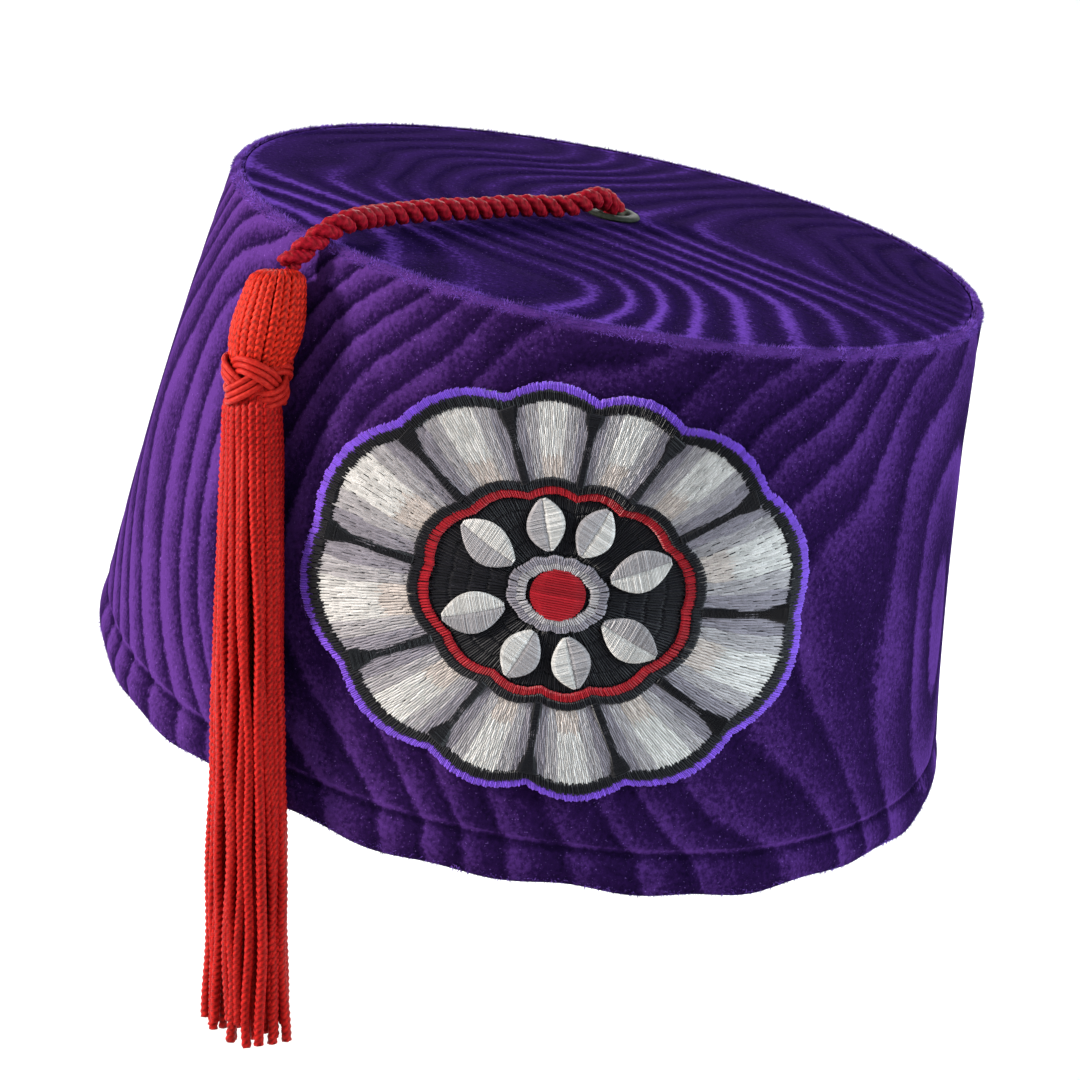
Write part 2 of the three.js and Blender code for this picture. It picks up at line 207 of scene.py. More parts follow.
def new_material(name, roughness, sheen=0.0, sheen_tint=(1.0, 1.0, 1.0)):
    """A material with its shader, ready for the nodes that colour and roughen it."""
    material = bpy.data.materials.new(name)
    material.use_nodes = True
    shader = material.node_tree.nodes["Principled BSDF"]
    shader.inputs["Roughness"].default_value = roughness
    shader.inputs["Specular IOR Level"].default_value = 0.3
    shader.inputs["Sheen Weight"].default_value = sheen
    shader.inputs["Sheen Roughness"].default_value = 0.4
    shader.inputs["Sheen Tint"].default_value = (*sheen_tint, 1)
    return material, material.node_tree.nodes, material.node_tree.links, shader


def add_node(nodes, kind, values):
    """A shader node of a kind, with values set on its sockets."""
    node = nodes.new("ShaderNode" + kind)
    for socket, value in values.items():
        node.inputs[socket].default_value = value
    return node


def add_ramp(nodes, links, level, stops):
    """The colour of a level on a ramp of stops, each a position and a colour."""
    ramp = nodes.new("ShaderNodeValToRGB")
    elements = ramp.color_ramp.elements
    for element, (position, colour) in zip((elements[0], elements[1]), (stops[0], stops[-1])):
        element.position = position
        element.color = (*colour, 1)
    for position, colour in stops[1:-1]:
        elements.new(position).color = (*colour, 1)
    links.new(level, ramp.inputs["Fac"])
    return ramp.outputs["Color"]


def add_noise(nodes, links, scale, detail=2.0, roughness=0.5):
    """Noise over the piece's own coordinates."""
    noise = add_node(nodes, "TexNoise", {"Scale": scale, "Detail": detail, "Roughness": roughness})
    links.new(nodes.new("ShaderNodeTexCoord").outputs["Object"], noise.inputs["Vector"])
    return noise.outputs["Fac"]


def add_bump(nodes, links, shader, height, strength, distance):
    """Fine bumps of a height, which the shader shows."""
    bump = add_node(nodes, "Bump", {"Strength": strength, "Distance": distance})
    links.new(height, bump.inputs["Height"])
    links.new(bump.outputs["Normal"], shader.inputs["Normal"])


def point_value(nodes, name):
    """A value that the mesh keeps for each of its points."""
    kept = nodes.new("ShaderNodeAttribute")
    kept.attribute_name = name
    return kept.outputs["Fac"]


def scaled_colour(nodes, links, colour, scale):
    """A colour times a number."""
    scaled = nodes.new("ShaderNodeVectorMath")
    scaled.operation = "SCALE"
    links.new(colour, scaled.inputs[0])
    links.new(scale, scaled.inputs["Scale"])
    return scaled.outputs["Vector"]


def cord_material(name, dark, mid, lit, shine=0.30):
    """Dyed cord with painted shade between its stitches, where its points are less open to light, and
    with cloudy dye and fine fibre bumps.
    """
    material, nodes, links, shader = new_material(name, 0.52)
    shader.inputs["Specular IOR Level"].default_value = shine
    shader.inputs["Specular Tint"].default_value = (1.0, 0.20, 0.14, 1)
    dye = add_noise(nodes, links, 1500, 3)
    tones = add_ramp(nodes, links, dye, [(0.3, dark), (0.5, mid), (0.72, lit)])
    light = {"From Min": 0.10, "From Max": 0.85, "To Min": 0.32, "To Max": 1.30}
    depth = add_node(nodes, "MapRange", light)
    links.new(point_value(nodes, "opened"), depth.inputs["Value"])
    # Painted shade: the dyed colour is darkened where the cord is less open to light.
    dyed_and_shaded = scaled_colour(nodes, links, tones, depth.outputs["Result"])
    links.new(dyed_and_shaded, shader.inputs["Base Color"])
    add_bump(nodes, links, shader, add_noise(nodes, links, 5200), 0.5, 0.00012)
    return material


rope_steps = 620
rope_line = smooth_line(rope_route, rope_steps)
rope_side = carried_side(rope_line)
rope_ahead = unit(np.gradient(rope_line, axis=0))
rope_up = np.cross(rope_ahead, rope_side)
twist = 2 * np.pi * length_along(rope_line)[:, None] / rope_lead
plies = []
for start in (0.0, np.pi):
    away = rope_side * np.cos(twist + start) + rope_up * np.sin(twist + start)
    ply_line = rope_line + away * ply_off_middle
    ply = knitted_tube(ply_line, away, ply_radius, ply_radius, 16, ply_stitch, ply_relief)
    points, faces, shade = ply
    # The rope's plies get a lighter painted shade between their stitches.
    plies.append((points, faces, ply_shade + (1 - ply_shade) * shade))
rope = joined_piece("twisted_rope", plies)
rope.data.materials.append(
    cord_material("rope_red", (0.12, 0.002, 0.006), (0.17, 0.003, 0.010), (0.23, 0.007, 0.014), 0.14)
)
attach(rope, "root")
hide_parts("tassel_rope")

# The crown leans on the head, and the tassel lies on its side before it hangs plumb below the rim.
# The crown's sizes are needed here first, because the tassel follows the side.
rim_half_width = 0.0900
rim_half_length = 0.0990
top_half_width = 0.0733
top_half_length = 0.0762
crown_height = 0.0980
shoulder_out = 0.0030
side_bow = 0.0014
lean = np.array(
    Matrix.Rotation(math.radians(10), 3, "Y")
    @ Matrix.Rotation(math.radians(12), 3, "X")
    @ Matrix.Rotation(math.radians(4), 3, "Z")
)


def wall_place(turn, height, out):
    """Points on the crown's side in the crown's own frame: turn from the front, height, distance out."""
    share = np.asarray(height) / crown_height
    half_width = rim_half_width + (top_half_width + shoulder_out - rim_half_width) * share
    half_length = rim_half_length + (top_half_length + shoulder_out - rim_half_length) * share
    bow = side_bow * 4 * share * (1 - share)
    across = (half_width + out) * np.sin(turn) - bow
    back = -(half_length + out) * np.cos(turn)
    return np.stack(np.broadcast_arrays(across, back, height), -1)


def leaned(places):
    """Points of the crown's own frame, leaned as the hat is worn."""
    return places @ lean.T


def front_of_wall(x, z, clear):
    """How far forward points at x and z lie to clear the crown's side by a distance."""
    near = np.full_like(z, -2 * rim_half_length)
    far = np.zeros_like(z)
    for halving in range(34):
        middle = (near + far) / 2
        place = np.stack([x, middle, z], -1) @ lean
        height = np.clip(place[:, 2], 0, crown_height)
        side = wall_place(np.pi / 2, height, clear)
        end = wall_place(0.0, height, clear)
        across = (place[:, 0] - end[:, 0]) / (side[:, 0] - end[:, 0])
        inside = np.hypot(across, place[:, 1] / end[:, 1]) < 1
        far = np.where(inside, middle, far)
        near = np.where(inside, near, middle)
    return near


# The tassel is one bundle of knitted strands. They fold over inside its head, are bound at the neck
# by the plaited knot, and hang as a long skirt with uneven ends.
tassel_x = -0.0484
tassel_lean = 0.0045
tassel_top = 0.0856
head_length = 0.014
knot_height = 0.009
skirt_length = 0.117
neck_end = head_length + knot_height
skirt_half_depth = 0.0053
knot_outer = 0.0066
wall_clearance = 0.0007
strand_stitch = 0.00125
strand_relief = 0.27
strand_random = np.random.default_rng(7)


def tassel_place(down):
    """The tassel's middle a distance down from its top, and which way it faces off the wall."""
    down = np.atleast_1d(np.asarray(down, float))
    x = tassel_x + tassel_lean * np.maximum(0, 1 - down / neck_end)
    z = tassel_top - down
    share = np.clip((down - neck_end) / knot_height, 0, 1)
    share = share * share * (3 - 2 * share)
    clear = knot_outer + (skirt_half_depth - knot_outer) * share + wall_clearance
    on_wall = np.stack([x, front_of_wall(x, z, clear), z], -1) @ lean
    rim_z = z - np.minimum(0, on_wall[:, 2])
    y = front_of_wall(x, rim_z, clear)
    crown_place = np.stack([x, y, rim_z], -1) @ lean
    outward = crown_place / np.array([rim_half_width, rim_half_length, 1e9]) ** 2
    outward = outward @ lean.T
    outward[:, 2] = 0
    return np.stack([x, y, z], -1), unit(outward)


def tassel_line(down, along, off):
    """A line of the tassel beside its middle, and the direction from the middle to it."""
    middle, outward = tassel_place(down)
    sideways = np.stack([-outward[:, 1], outward[:, 0], np.zeros(len(down))], -1)
    beside = sideways * along[:, None] + outward * off[:, None]
    return middle + beside, unit(beside + outward * 1e-6)


def smooth_wander(count, size, waves):
    """A slow random drift along a strand, none at its start."""
    share = np.linspace(0, 1, count)
    drift = sum(
        strand_random.normal() * np.sin(np.pi * share * wave + strand_random.uniform(0, 6)) / wave
        for wave in range(1, waves + 1)
    )
    return (drift - drift[0]) * size * share ** 0.6


head_strands = 23
head_strand_deep = 0.00088
head_steps = 64
head_down = np.array([-0.0004, 0.0004, 0.0024, 0.0055, 0.0095, 0.0130, 0.0165])
head_radius = np.array([0.0024, 0.0041, 0.0048, 0.0054, 0.0058, 0.0054, 0.0042])
strands = []
for strand in range(head_strands):
    turn = 2 * np.pi * (strand + 0.08 * strand_random.uniform(-1, 1)) / head_strands
    outline = smooth_line(np.stack([head_down, head_radius, np.zeros(len(head_down))], -1), head_steps)
    line_down = outline[:, 0]
    radius = outline[:, 1]
    turns = turn + smooth_wander(head_steps, 0.02, 3)
    line, facing = tassel_line(line_down, radius * np.sin(turns), radius * np.cos(turns))
    wide = np.maximum(0.0006, np.pi * radius / head_strands * 1.2)
    strands.append(knitted_tube(line, facing, wide, head_strand_deep, 12, strand_stitch, strand_relief))
tassel_head = joined_piece("tassel_head", strands)
# Painted light: the head is the same strands as the skirt, given a lighter copy of its red.
tassel_head.data.materials.append(
    cord_material("head_red_lit", (0.26, 0.007, 0.004), (0.38, 0.012, 0.006), (0.52, 0.024, 0.010))
)
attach(tassel_head, "root")
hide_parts("tassel")

# The skirt is the same strands below the neck: knitted red cords that come out of the knot and hang
# free, an outer ring round a few inner ones. They are cut off a little unevenly.
outer_strands = 24
inner_strands = 12
strand_radius = 0.00090
skirt_trim = 0.0018
skirt_uneven = 0.0050
skirt_sway = 0.0004
skirt_start = head_length + 0.004
skirt_shares = np.array([0.0, 0.05, 0.12, 0.30, 0.55, 0.80, 1.0])
skirt_wide = np.array([0.0042, 0.0055, 0.0058, 0.0062, 0.0067, 0.0072, 0.0077])
skirt_deep = np.array([0.0034, 0.0040, 0.0043, 0.0044, 0.0044, 0.0045, 0.0047])
strands = []
for strand in range(outer_strands + inner_strands):
    outer = strand < outer_strands
    ring = outer_strands if outer else inner_strands
    turn = 2 * np.pi * (strand + 0.2 * strand_random.uniform(-1, 1)) / ring
    end = neck_end + skirt_length - strand_random.uniform(0, skirt_uneven) - skirt_trim
    count = int((end - skirt_start) / strand_stitch * (4 if outer else 2))
    line_down = np.linspace(skirt_start, end, count)
    share = (line_down - skirt_start) / (neck_end + skirt_length - skirt_start)
    reach = 1.0 if outer else 0.55
    wide = np.interp(share, skirt_shares, skirt_wide) * reach
    deep = np.interp(share, skirt_shares, skirt_deep) * reach
    turns = turn + smooth_wander(count, 0.19, 6)
    sway = skirt_sway * share ** 1.5 * np.sin(line_down / 0.0048 + strand * 2.4)
    along = wide * np.sin(turns) + smooth_wander(count, skirt_sway, 9) + sway
    off = deep * np.cos(turns)
    line, facing = tassel_line(line_down, along, off)
    thick = strand_radius + 0.00004 * strand_random.uniform(-1, 1)
    around = 9 if outer else 6
    strands.append(knitted_tube(line, facing, thick, thick, around, strand_stitch, strand_relief))
tassel_skirt = joined_piece("tassel_skirt", strands)
tassel_skirt.data.materials.append(
    cord_material("tassel_red", (0.20, 0.003, 0.004), (0.29, 0.005, 0.005), (0.40, 0.011, 0.008))
)
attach(tassel_skirt, "root")
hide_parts("tassel")

# The knot round the neck: three smooth cords side by side, plaited over and under each other in
# one closed band with four bights, its ends hidden in the plait.
knot_bights = 4
knot_cord_radius = 0.00056
knot_cord_apart = 0.00112
knot_middle_radius = 0.0052
knot_half_height = 0.0030
knot_over = 0.00072
knot_slope = math.radians(4)
knot_points = 900


def round_tube(line, facing, radius, around):
    """A smooth cord as points, faces and light."""
    ahead = unit(np.gradient(line, axis=0))
    across = unit(np.cross(ahead, facing))
    out = np.cross(across, ahead)
    turn = 2 * np.pi * np.arange(around) / around
    sideways = across[:, None] * np.sin(turn)[:, None]
    ring = sideways + out[:, None] * np.cos(turn)[:, None]
    points = (line[:, None] + ring * radius).reshape(-1, 3)
    places = np.concatenate([points, line[:1], line[-1:]])
    return places, tube_faces(len(line), around), np.ones(len(places))


knot_turn = np.linspace(0, 6 * np.pi, knot_points)
knot_phase = knot_turn * knot_bights / 3
knot_up = knot_half_height * np.sin(knot_phase)
knot_radius = knot_middle_radius + knot_over * np.sin(2 * knot_phase)
up_slope = np.gradient(knot_up, knot_turn * knot_middle_radius)
square_turn = -up_slope / np.hypot(1, up_slope) / knot_middle_radius
square_up = 1 / np.hypot(1, up_slope)
knot_middle, knot_outward = tassel_place(neck_end - knot_height / 2)
knot_outward = knot_outward[0]
knot_side = np.array([-knot_outward[1], knot_outward[0], 0.0])
knot_axis = np.array([0.0, 0.0, 1.0]) * math.cos(knot_slope) + knot_side * math.sin(knot_slope)
knot_across = np.cross(knot_outward, knot_axis)
cords = []
for apart in (-knot_cord_apart, 0.0, knot_cord_apart):
    turns = knot_turn + apart * square_turn
    ups = knot_up + apart * square_up
    away = knot_across * np.sin(turns)[:, None] + knot_outward * np.cos(turns)[:, None]
    line = knot_middle + away * knot_radius[:, None] + knot_axis * ups[:, None]
    cords.append(round_tube(line, away, knot_cord_radius, 10))
tassel_knot = joined_piece("plaited_knot", cords)
tassel_knot.data.materials.append(
    cord_material("knot_red", (0.18, 0.005, 0.004), (0.24, 0.008, 0.006), (0.31, 0.016, 0.010))
)
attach(tassel_knot, "root")
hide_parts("tassel_knot")

# The side is stiffened velvet with its pile in curved ribs. It is turned up inside and stitched into
# a hem at the rim, and rolled over the shoulder into the seam of the top.
cloth = 0.0026
hem_height = 0.0075
shoulder_rise = 0.0004
rib_relief = 0.00014
rib_period = math.radians(8.2)
rib_crowd_start = math.radians(-38)
rib_bend = math.radians(18)
rib_side_bend = math.radians(16)
rib_middle = 0.050
rib_reach = 0.048
rib_eye = math.radians(66)
rib_crowding = math.radians(14)
emblem_turn = math.radians(-2.5)
emblem_height = 0.0525
emblem_half_width = 0.052
emblem_half_height = 0.036
emblem_scallops = 12
scallop_depth = 0.0022


def grid_sheet(name, columns, rows):
    """A flat grid primitive, and each of its points' shares across and up, from 0 to 1."""
    bpy.ops.object.select_all(action="DESELECT")
    bpy.ops.mesh.primitive_grid_add(x_subdivisions=columns, y_subdivisions=rows, size=1)
    sheet = bpy.context.object
    sheet.name = name
    sheet.data.name = name
    flat = np.zeros(len(sheet.data.vertices) * 3)
    sheet.data.vertices.foreach_get("co", flat)
    flat = flat.reshape(-1, 3) + 0.5
    return sheet, flat[:, 0], flat[:, 1]


def shape_sheet(sheet, places):
    """Moves the grid's points to their places, and sews its meeting edges together."""
    sheet.data.vertices.foreach_set("co", places.astype(np.float32).ravel())
    sheet.data.update()
    turn_outwards(sheet, True)


def keep_on_points(sheet, name, values):
    """Keeps a value for each point, which a material reads. Made before the grid is sewn."""
    attribute = sheet.data.attributes.new(name, "FLOAT", "POINT")
    attribute.data.foreach_set("value", values.astype(np.float32))


def soft_step(value, low, high):
    share = np.clip((value - low) / (high - low), 0, 1)
    return share * share * (3 - 2 * share)


def emblem_reach(direction):
    """The distance from the emblem's middle to its edge for a direction seen from the front."""
    oval = 1 / np.hypot(np.cos(direction) / emblem_half_width, np.sin(direction) / emblem_half_height)
    return oval - scallop_depth * (1 - np.abs(np.sin(direction * emblem_scallops / 2)))


def past_emblem(turn, height):
    """How far a place on the side lies outside the emblem's edge."""
    away = (turn - emblem_turn + np.pi) % (2 * np.pi) - np.pi
    across = away * rim_half_width
    up = height - emblem_height
    return np.hypot(across, up) - emblem_reach(np.arctan2(up, across))


def side_ribs(turn, height):
    """The pile's pattern on the side, in ribs: lines that bow to the left, nested round an eye."""
    around = (turn + np.pi) % (2 * np.pi) - np.pi
    rise = rib_eye - np.hypot(around - rib_eye, math.radians(4))
    rise = rise - 0.28 * rib_crowding * np.log1p(np.exp((rib_crowd_start - around) / rib_crowding))
    up = np.where(height < hem_height, hem_height + (height - hem_height) * 0.3, height)
    bend = rib_bend + rib_side_bend * soft_step(-around, math.radians(15), math.radians(60))
    bow = bend * ((up - rib_middle) / rib_reach) ** 2
    drift = 0.42 * np.sin(around * 2.3 + up * 35) + 0.36 * np.sin(around * 6.3 - up * 45 + 1)
    drift += 0.18 * np.sin(around * 12.7 + up * 90 + 2)
    return (rise - bow) / rib_period + drift


def rim_wave(turn, height):
    """How far the rim's edge wanders up and down, fading upwards."""
    return (0.0005 * np.sin(turn * 9 + 1) + 0.0004 * np.sin(turn * 23)) * np.exp(-height / 0.004)


def rib_shape(ribs):
    """Height of the pile across a rib: a broad soft back and a narrow valley."""
    return 1 - (0.5 + 0.5 * np.cos(2 * np.pi * ribs)) ** 3.5


def add_maths(nodes, links, operation, *terms):
    """The result of a sum of terms, each a number or another node's result."""
    node = nodes.new("ShaderNodeMath")
    node.operation = operation
    for socket, term in zip(node.inputs, terms):
        if isinstance(term, float):
            socket.default_value = term
        else:
            links.new(term, socket)
    return node.outputs[0]


def velvet_material(name, dark, mid, lit, cloud, across_rib, haze):
    """Velvet: painted shade in the rib valleys, a painted highlight of lit nap on the ribs, the piece's
    other painted light, and painted glints of stray fibres.
    """
    material, nodes, links, shader = new_material(name, 1.0, haze, (0.50, 0.28, 1.0))
    shader.inputs["Specular IOR Level"].default_value = 0.0
    shader.inputs["Sheen Roughness"].default_value = 0.32
    stray = add_noise(nodes, links, 620, 4, 0.7)
    clouds = add_noise(nodes, links, 95, 4)
    pile = add_noise(nodes, links, 1250, 5, 0.65)
    specks = add_noise(nodes, links, 2600, 1)
    strayed = add_maths(nodes, links, "MULTIPLY_ADD", stray, 0.42, point_value(nodes, "ribs"))
    within = add_maths(nodes, links, "FRACT", strayed)
    # Painted light and shade across each rib, from the given stops.
    across = add_ramp(nodes, links, within, [(position, (light,) * 3) for position, light in across_rib])
    contrast = point_value(nodes, "contrast")
    # The painted rib light times its strength, plus the piece's other painted light.
    nap_light = add_maths(nodes, links, "MULTIPLY_ADD", across, contrast, point_value(nodes, "painted_light"))
    cloudy = add_maths(nodes, links, "MULTIPLY_ADD", clouds, cloud, nap_light)
    mottled = add_maths(nodes, links, "MULTIPLY_ADD", pile, 1.1, cloudy)
    level = add_maths(nodes, links, "SUBTRACT", mottled, 0.5 * cloud + 0.55)
    tones = add_ramp(nodes, links, level, [(0.0, dark), (0.45, mid), (1.0, lit)])
    # Painted glints: bright specks where stray fibres catch the light.
    painted_glints = add_ramp(nodes, links, specks, [(0.70, (0, 0, 0)), (0.80, (0.22, 0.12, 0.42))])
    glint = nodes.new("ShaderNodeMix")
    glint.data_type = "RGBA"
    glint.blend_type = "ADD"
    glint.inputs["Factor"].default_value = 0.4
    lined = nodes.new("ShaderNodeMix")
    lined.data_type = "RGBA"
    lined.inputs["B"].default_value = (0.020, 0.018, 0.028, 1)
    links.new(tones, glint.inputs["A"])
    links.new(painted_glints, glint.inputs["B"])
    links.new(point_value(nodes, "lining"), lined.inputs["Factor"])
    links.new(glint.outputs["Result"], lined.inputs["A"])
    links.new(lined.outputs["Result"], shader.inputs["Base Color"])
    add_bump(nodes, links, shader, pile, 0.55, 0.00035)
    return material


fold = cloth / 2
rib_phase = 0.17
back_seam_depth = 0.0005
hem_pinch_depth = 0.00025
roll_steps = 7
hem_steps = 8
seam_steps = 7
side_steps = 60
inner_steps = 10
seam_half = 0.0012
seam_margin = 0.0016
seam_depth = 0.0004
roll_margin = 0.0020
roll_angle = np.linspace(0, np.pi, roll_steps + 2)[1:-1]
side_heights = np.linspace(hem_height + seam_margin, crown_height - roll_margin, side_steps)
seam_step = np.linspace(-1, 1, seam_steps)
hem_heights = np.linspace(fold, hem_height - seam_margin, hem_steps)
roll_top = crown_height + shoulder_rise - fold
inner_heights = np.linspace(roll_top, fold, inner_steps)
profile_height = np.concatenate([
    fold - fold * np.sin(roll_angle),
    hem_heights,
    hem_height + seam_half * seam_step,
    side_heights,
    roll_top + fold * np.sin(roll_angle),
    inner_heights,
])
profile_out = np.concatenate([
    -fold - fold * np.cos(roll_angle),
    0.0005 * np.sin(np.pi * np.linspace(0, 1, hem_steps)),
    -seam_depth * np.cos(np.pi / 2 * seam_step),
    0.0002 * np.exp(-(side_heights - hem_height) / 0.004),
    -fold + fold * np.cos(roll_angle),
    np.full(inner_steps, -cloth),
])
profile_fineness = np.concatenate([
    np.full(roll_steps + hem_steps + seam_steps, 1.8),
    np.ones(side_steps - 2),
    np.full(roll_steps + 2, 2.4),
    np.full(inner_steps - 1, 0.09),
])
steps = np.hypot(np.diff(profile_height), np.diff(profile_out))
profile_share = np.concatenate([[0], np.cumsum(steps * profile_fineness)])
profile_height = np.append(profile_height, profile_height[0])
profile_out = np.append(profile_out, profile_out[0])
profile_share = np.append(profile_share, profile_share[-1] * 1.012)
profile_share /= profile_share[-1]

velvet_side, across_share, up_share = grid_sheet("velvet_side", 640, 148)
turns = 2 * np.pi * across_share
heights = np.interp(up_share, profile_share, profile_height)
outs = np.interp(up_share, profile_share, profile_out)
on_face = soft_step(outs, -0.0020, -0.0006)
ribs = side_ribs(turns, heights)
flat_under_emblem = soft_step(past_emblem(turns, heights), -0.001, 0.002)
ripple = rib_relief * (rib_shape(ribs) - 0.7) * on_face * flat_under_emblem
hem_share = 1 - soft_step(heights, hem_height - 0.001, hem_height + 0.001)
ripple *= 1 - 0.5 * hem_share
seam_pinch = np.exp(-((heights - hem_height) / 0.0010) ** 2) * on_face
ripple -= seam_pinch * hem_pinch_depth * (0.5 + 0.5 * np.sin(turns * 210))
# Painted highlight along the shoulder's fold, where the pile catches the light.
shoulder_highlight = 0.95 * np.exp(-((heights - crown_height - 0.0002) / 0.0011) ** 2)
# Painted light at the hem's seam: a bright line just above it, and painted shade in its groove.
seam_light_and_shade = 0.35 * np.exp(-((heights - hem_height - 0.0008) / 0.0005) ** 2)
seam_light_and_shade -= 0.35 * np.exp(-((heights - hem_height + 0.0002) / 0.0006) ** 2)
evenness = 0.5 + 0.5 * np.sin(turns * 4.3 + heights * 70) * np.sin(turns * 2.1 - heights * 95 + 2)
front_share = np.exp(-(((turns + np.pi + emblem_turn - 0.1) % (2 * np.pi) - np.pi) / 0.75) ** 2)
# Strength of the painted rib light and shade: weaker at the front, uneven at random, none inside or at
# the back seam.
rib_contrast = (1 - 0.45 * front_share) * (0.55 + 0.45 * evenness)
back_seam = np.exp(-((np.abs((turns + np.pi) % (2 * np.pi) - np.pi) - np.pi) / 0.008) ** 2) * on_face
ripple -= back_seam_depth * back_seam
rib_contrast = 1.04 * rib_contrast * on_face * (1 - back_seam)
keep_on_points(velvet_side, "ribs", ribs - rib_phase)
keep_on_points(velvet_side, "contrast", rib_contrast)
# Painted light: the sides are lighter than the front, most on the left where the key light falls, and
# lighter where the painted rib light is weaker.
side_painted_light = 0.05 + 0.13 * (1 - front_share) + 0.10 * np.exp(-((turns - 1.6 * np.pi) / 0.6) ** 2)
side_painted_light += 0.14 * (0.95 - rib_contrast) + shoulder_highlight + seam_light_and_shade
keep_on_points(velvet_side, "painted_light", side_painted_light * on_face)
keep_on_points(velvet_side, "lining", (outs < -cloth + 0.0001).astype(float))
places = wall_place(turns, heights + rim_wave(turns, heights), outs + ripple)
shape_sheet(velvet_side, leaned(places))
# Brightness across a rib, for its painted light and shade: dark in the valley, brightest just past it,
# fading to the next.
side_rib = [
    (0.0, 0.02), (0.07, 0.22), (0.20, 1.0), (0.38, 0.80), (0.70, 0.48), (0.93, 0.26), (1.0, 0.02)
]
side_dark = (0.0045, 0.0018, 0.013)
side_mid = (0.0132, 0.0043, 0.035)
side_lit = (0.062, 0.0205, 0.139)
velvet_side.data.materials.append(
    velvet_material("velvet_purple", side_dark, side_mid, side_lit, 0.45, side_rib, 0.05)
)
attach(velvet_side, "root")
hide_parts("crown_wall")

# Stray pile stands up along the rolled shoulder and the hem, where the cloth is bent: fine tapered
# fibres of the same dye, which blur the edge against the light.
fuzz_random = np.random.default_rng(11)
shoulder_fibres = 15000
hem_fibres = 5000
fibre_long = 0.0008
fibre_thick = 0.00007


def fibre_spikes(roots, ways):
    """Three-sided spikes as points and faces, from their roots and their lengths and directions."""
    ahead = unit(ways)
    side = unit(np.cross(ahead, (0.31, 0.17, 0.93)))
    up = np.cross(ahead, side)
    corners = [
        roots + (side * math.cos(turn) + up * math.sin(turn)) * fibre_thick
        for turn in (0, 2 * math.pi / 3, 4 * math.pi / 3)
    ]
    points = np.stack([*corners, roots + ways], 1).reshape(-1, 3)
    offsets = (np.arange(len(roots)) * 4)[:, None, None]
    faces = (np.array([(0, 1, 3), (1, 2, 3), (2, 0, 3), (2, 1, 0)]) + offsets).reshape(-1, 3)
    return points, (np.zeros((0, 4), int), faces), np.ones(len(points))


def edge_fibres(count, middle_out, middle_height, lowest, highest):
    """Fibres round the crown, on a roll of cloth with its middle at a height and a distance out."""
    turn = fuzz_random.uniform(0, 2 * np.pi, count)
    tilt = fuzz_random.uniform(lowest, highest, count)
    root_out = middle_out + fold * 0.94 * np.cos(tilt)
    root_height = middle_height + fold * 0.94 * np.sin(tilt)
    long = fibre_long * fuzz_random.uniform(0.35, 1.0, count) ** 1.5
    roots = wall_place(turn, root_height + rim_wave(turn, root_height), root_out)
    tip_turn = turn + fuzz_random.normal(0, 0.004, count)
    tip_height = root_height + rim_wave(turn, root_height) + long * np.sin(tilt)
    tip_height += fuzz_random.normal(0, 0.0002, count)
    tips = wall_place(tip_turn, tip_height, root_out + long * np.cos(tilt))
    return leaned(roots), leaned(tips) - leaned(roots)


shoulder_fuzz = fibre_spikes(*edge_fibres(shoulder_fibres, -fold, roll_top, -0.2, 2.2))
hem_fuzz = fibre_spikes(*edge_fibres(hem_fibres, -fold, fold, -1.9, 0.1))
velvet_fuzz = joined_piece("velvet_fuzz", [shoulder_fuzz, hem_fuzz])
bpy.ops.object.shade_flat()
# Painted highlight: the fibres are coloured lighter than the velvet, as pile that catches the light.
fibre_dark = (0.040, 0.014, 0.115)
fibre_lit = (0.170, 0.070, 0.420)
material, nodes, links, shader = new_material("fibre_purple", 0.9)
shader.inputs["Specular IOR Level"].default_value = 0.05
clouds = add_noise(nodes, links, 240)
tones = add_ramp(nodes, links, clouds, [(0.35, fibre_dark), (0.7, fibre_lit)])
links.new(tones, shader.inputs["Base Color"])
velvet_fuzz.data.materials.append(material)
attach(velvet_fuzz, "root")
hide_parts("crown_wall")

# The top is a domed oval of the same velvet on its stiffening, sewn into the seam at the shoulder.
# Its ribs swirl round a few eyes, and the eyelet sits in its middle.
disc_cloth = 0.0020
dome_rise = 0.0022
disc_edge = 0.0006
disc_hole = 0.0041
top_rib_period = 0.0105
top_rib_relief = 0.0004
disc_nap_height = 0.0002
top_eyes = [
    (-0.008, -0.060, 0.017, 0.017),
    (0.045, 0.004, 0.017, 0.014),
    (0.012, 0.016, 0.014, 0.006),
    (-0.052, 0.010, 0.018, 0.016),
    (-0.010, 0.050, 0.018, 0.012),
]


def top_ribs(x, y):
    """The pile's pattern on the top, in ribs."""
    away = y - 0.006
    front_bow = 0.046 * soft_step(-away, 0.0, 0.056)
    back_bow = 0.050 * soft_step(away, 0.0, 0.070)
    bow = np.where(away < 0, front_bow, back_bow)
    height = x - bow
    for eye_x, eye_y, reach, lift in top_eyes:
        near = np.hypot(x - eye_x, y - eye_y) / reach
        height = height - lift * np.exp(-near ** 2)
    height = height + 0.0008 * np.sin(x * 110 + y * 70) + 0.0004 * np.sin(y * 160 - x * 50)
    return height / top_rib_period


